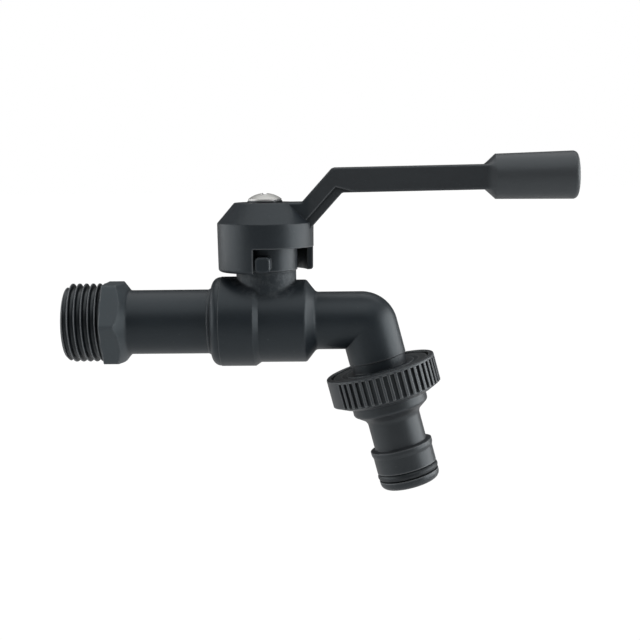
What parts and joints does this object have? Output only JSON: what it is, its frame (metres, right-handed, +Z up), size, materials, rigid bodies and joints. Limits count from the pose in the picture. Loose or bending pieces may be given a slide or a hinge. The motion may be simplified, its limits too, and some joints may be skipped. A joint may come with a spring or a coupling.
{
  "type": "lever ball tap with hose connector",
  "caption": "Outdoor lever ball tap with a threaded inlet, a bent spout and a screwed push-on hose connector.",
  "frame": {"origin": "on the inlet thread's axis, at the face where the thread meets the hexagon", "axes": "+X along the inlet towards the spout and the grip, +Z up along the stem, -Y towards the stop lug"},
  "size_m": [0.1353, 0.0294, 0.0899],
  "materials": {
    "coated_body": "satin black coating on brass",
    "coated_lever": "satin black coating on die-cast zinc",
    "stainless": "bright stainless steel",
    "dark_washer": "blackened steel",
    "connector_plastic": "satin black plastic",
    "seal_rubber": "matte black rubber",
    "plated_ball": "chrome plated brass",
    "seat_plastic": "white low friction plastic",
    "stem_brass": "turned brass"
  },
  "bodies": {
    "tap_body": {"valve_body": "coated_body", "inlet_tailpiece": "coated_body", "tailpiece_o_ring": "seal_rubber", "inlet_seat": "seat_plastic", "outlet_seat": "seat_plastic"},
    "handle": {"lever": "coated_lever", "handle_screw": "stainless", "screw_washer": "dark_washer", "stem": "stem_brass", "stem_o_ring_lower": "seal_rubber", "stem_o_ring_upper": "seal_rubber", "stem_thrust_washer": "seat_plastic"},
    "closing_ball": {"ball": "plated_ball"},
    "sealing_washer": {"connector_washer": "seal_rubber"},
    "connector": {"hose_connector": "connector_plastic", "nipple_o_ring": "seal_rubber"}
  },
  "joints": [
    {"name": "lever_turn", "type": "hinge", "parent": "tap_body", "child": "handle", "pos_m": [0.04305, 0, 0], "axis": [0, 0, 1], "range_deg": [-90, 0]},
    {"name": "ball_turn", "type": "hinge", "parent": "tap_body", "child": "closing_ball", "pos_m": [0.04305, 0, 0], "axis": [0, 0, 1], "range_deg": [-90, 0]},
    {"name": "connector_draw", "type": "slide", "parent": "tap_body", "child": "sealing_washer", "axis": [0.2504, 0, -0.9681], "range_m": [0, 0.00544]},
    {"name": "connector_unscrew", "type": "hinge", "parent": "sealing_washer", "child": "connector", "pos_m": [0.06973, 0, 0], "axis": [0.2504, 0, -0.9681], "range_deg": [0, 1080]}
  ],
  "couplings": [
    {"joint": "ball_turn", "follows": "lever_turn", "ratio": 1},
    {"joint": "connector_draw", "follows": "connector_unscrew", "m_per_rad": 0.00028871}
  ]
}
